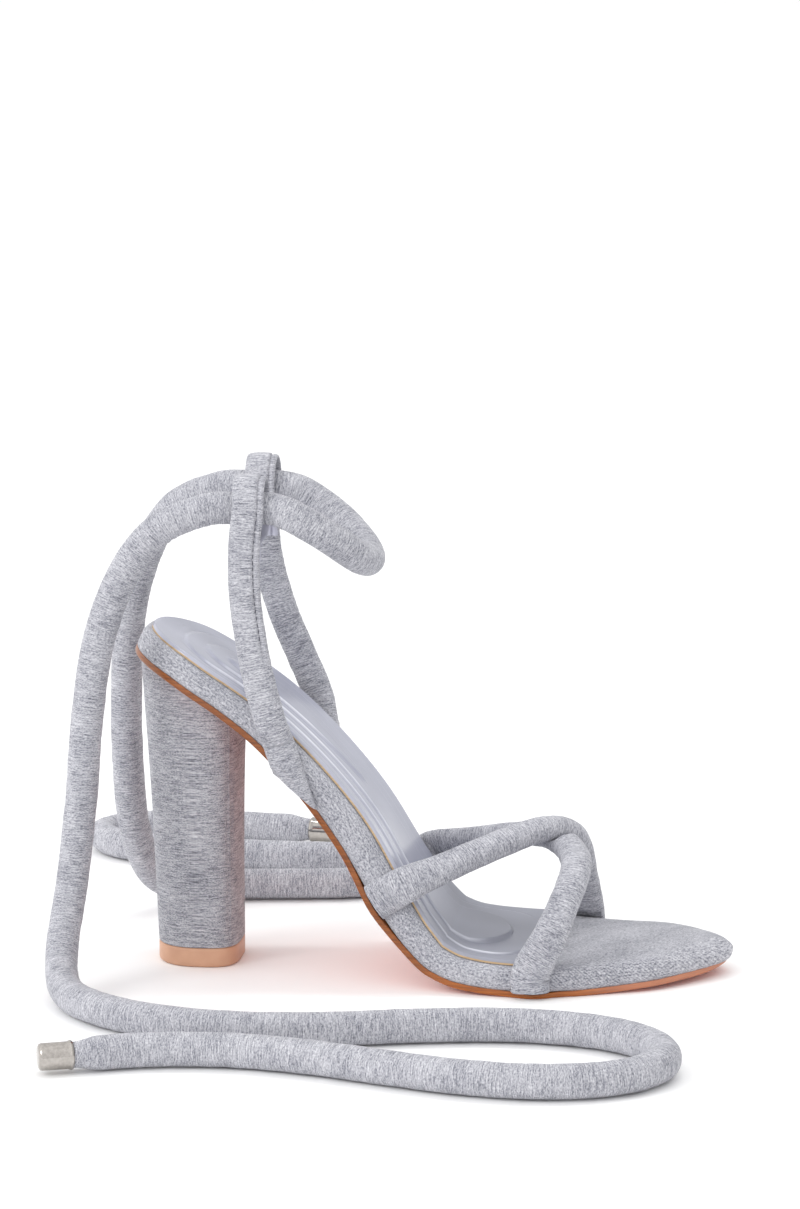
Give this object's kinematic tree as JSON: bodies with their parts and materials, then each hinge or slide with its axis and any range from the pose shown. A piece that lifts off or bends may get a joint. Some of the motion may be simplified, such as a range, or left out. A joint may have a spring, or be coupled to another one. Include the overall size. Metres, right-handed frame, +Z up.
{
  "type": "chunky heel sandal",
  "caption": "Right-foot sandal on a tall round block heel, with padded jersey straps crossed over the toes, sling straps at the ankle and a long loose tie with metal ends.",
  "frame": {"origin": "on the floor, under the middle of the shoe's box without its tie", "axes": "+X to the toe, +Y to the inner side of the foot, +Z up"},
  "size_m": [0.2568, 0.3305, 0.1754],
  "materials": {
    "jersey": "heather grey knitted jersey, matt",
    "insole_skin": "smooth pale grey synthetic leather, satin, embossed",
    "outsole_tan": "tan sheet sole, smooth edge",
    "tip_tan": "moulded tan top piece, satin",
    "nickel": "polished nickel plate"
  },
  "bodies": {
    "root": {"platform": "jersey", "block_heel": "jersey", "toe_straps": "jersey", "sling_strap_outer": "jersey", "sling_strap_inner": "jersey", "ankle_tie_middle": "jersey", "ankle_tie_outer": "jersey", "ankle_tie_inner": "jersey", "insole": "insole_skin", "outsole": "outsole_tan", "heel_tip": "tip_tan", "tie_ferrule_outer": "nickel", "tie_ferrule_inner": "nickel"}
  },
  "joints": []
}
